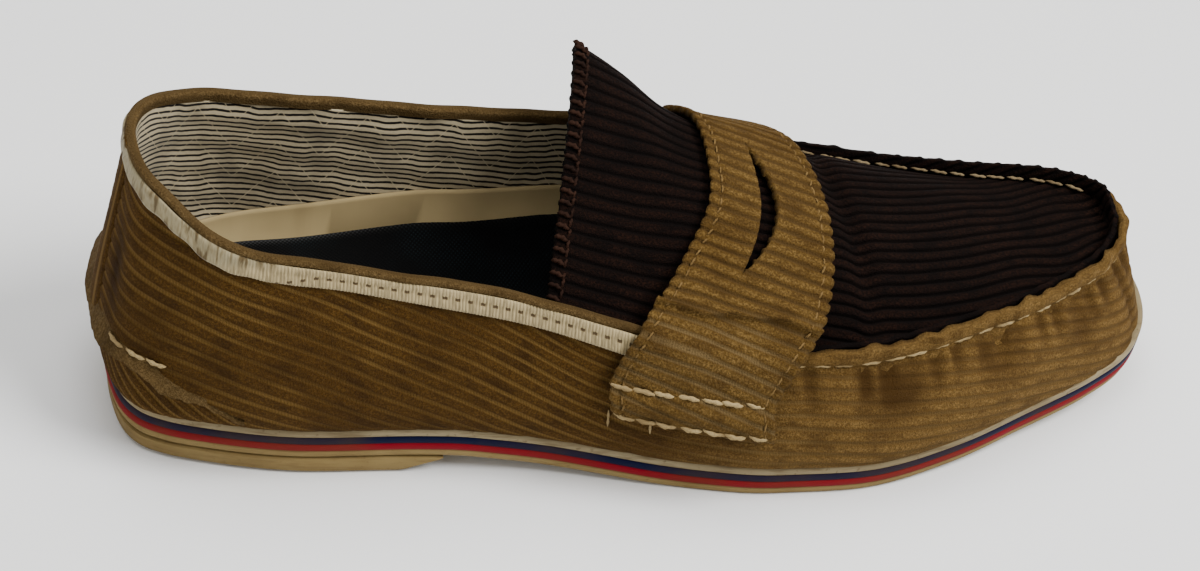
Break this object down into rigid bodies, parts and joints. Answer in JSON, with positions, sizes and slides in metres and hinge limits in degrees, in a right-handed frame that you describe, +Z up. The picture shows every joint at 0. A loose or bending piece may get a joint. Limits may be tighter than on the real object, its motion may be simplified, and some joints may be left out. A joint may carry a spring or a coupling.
{
  "type": "corduroy penny loafer",
  "caption": "Right-foot penny loafer in tan wide-wale corduroy with a dark brown corduroy apron and tongue, on a flat rubber sole with cream, navy and red edge stripes.",
  "frame": {"origin": "middle of the shoe's box, on the floor that the heel and the forefoot stand on", "axes": "+X from the heel to the toe, +Y to the inner side of the foot, +Z up"},
  "size_m": [0.291, 0.1044, 0.0864],
  "materials": {
    "tan_corduroy": "wide-wale cotton corduroy with a short matt pile",
    "brown_corduroy": "wide-wale cotton corduroy with a short matt pile",
    "tan_rubber": "matt moulded rubber",
    "cream_rubber": "matt rubber edge",
    "red_rubber": "smooth rubber edge",
    "navy_rubber": "smooth rubber edge",
    "cream_foam": "matt foam",
    "black_cloth": "matt woven cloth",
    "cream_ribbon": "ribbed cotton ribbon"
  },
  "bodies": {
    "root": {"heel_lift": "tan_rubber", "outsole": "tan_rubber", "red_stripe": "red_rubber", "navy_stripe": "navy_rubber", "rand": "cream_rubber", "footbed": "cream_foam", "sock": "black_cloth", "upper": "tan_corduroy", "apron": "brown_corduroy", "tongue": "brown_corduroy", "strap": "tan_corduroy", "collar_tape": "cream_ribbon"}
  },
  "joints": []
}
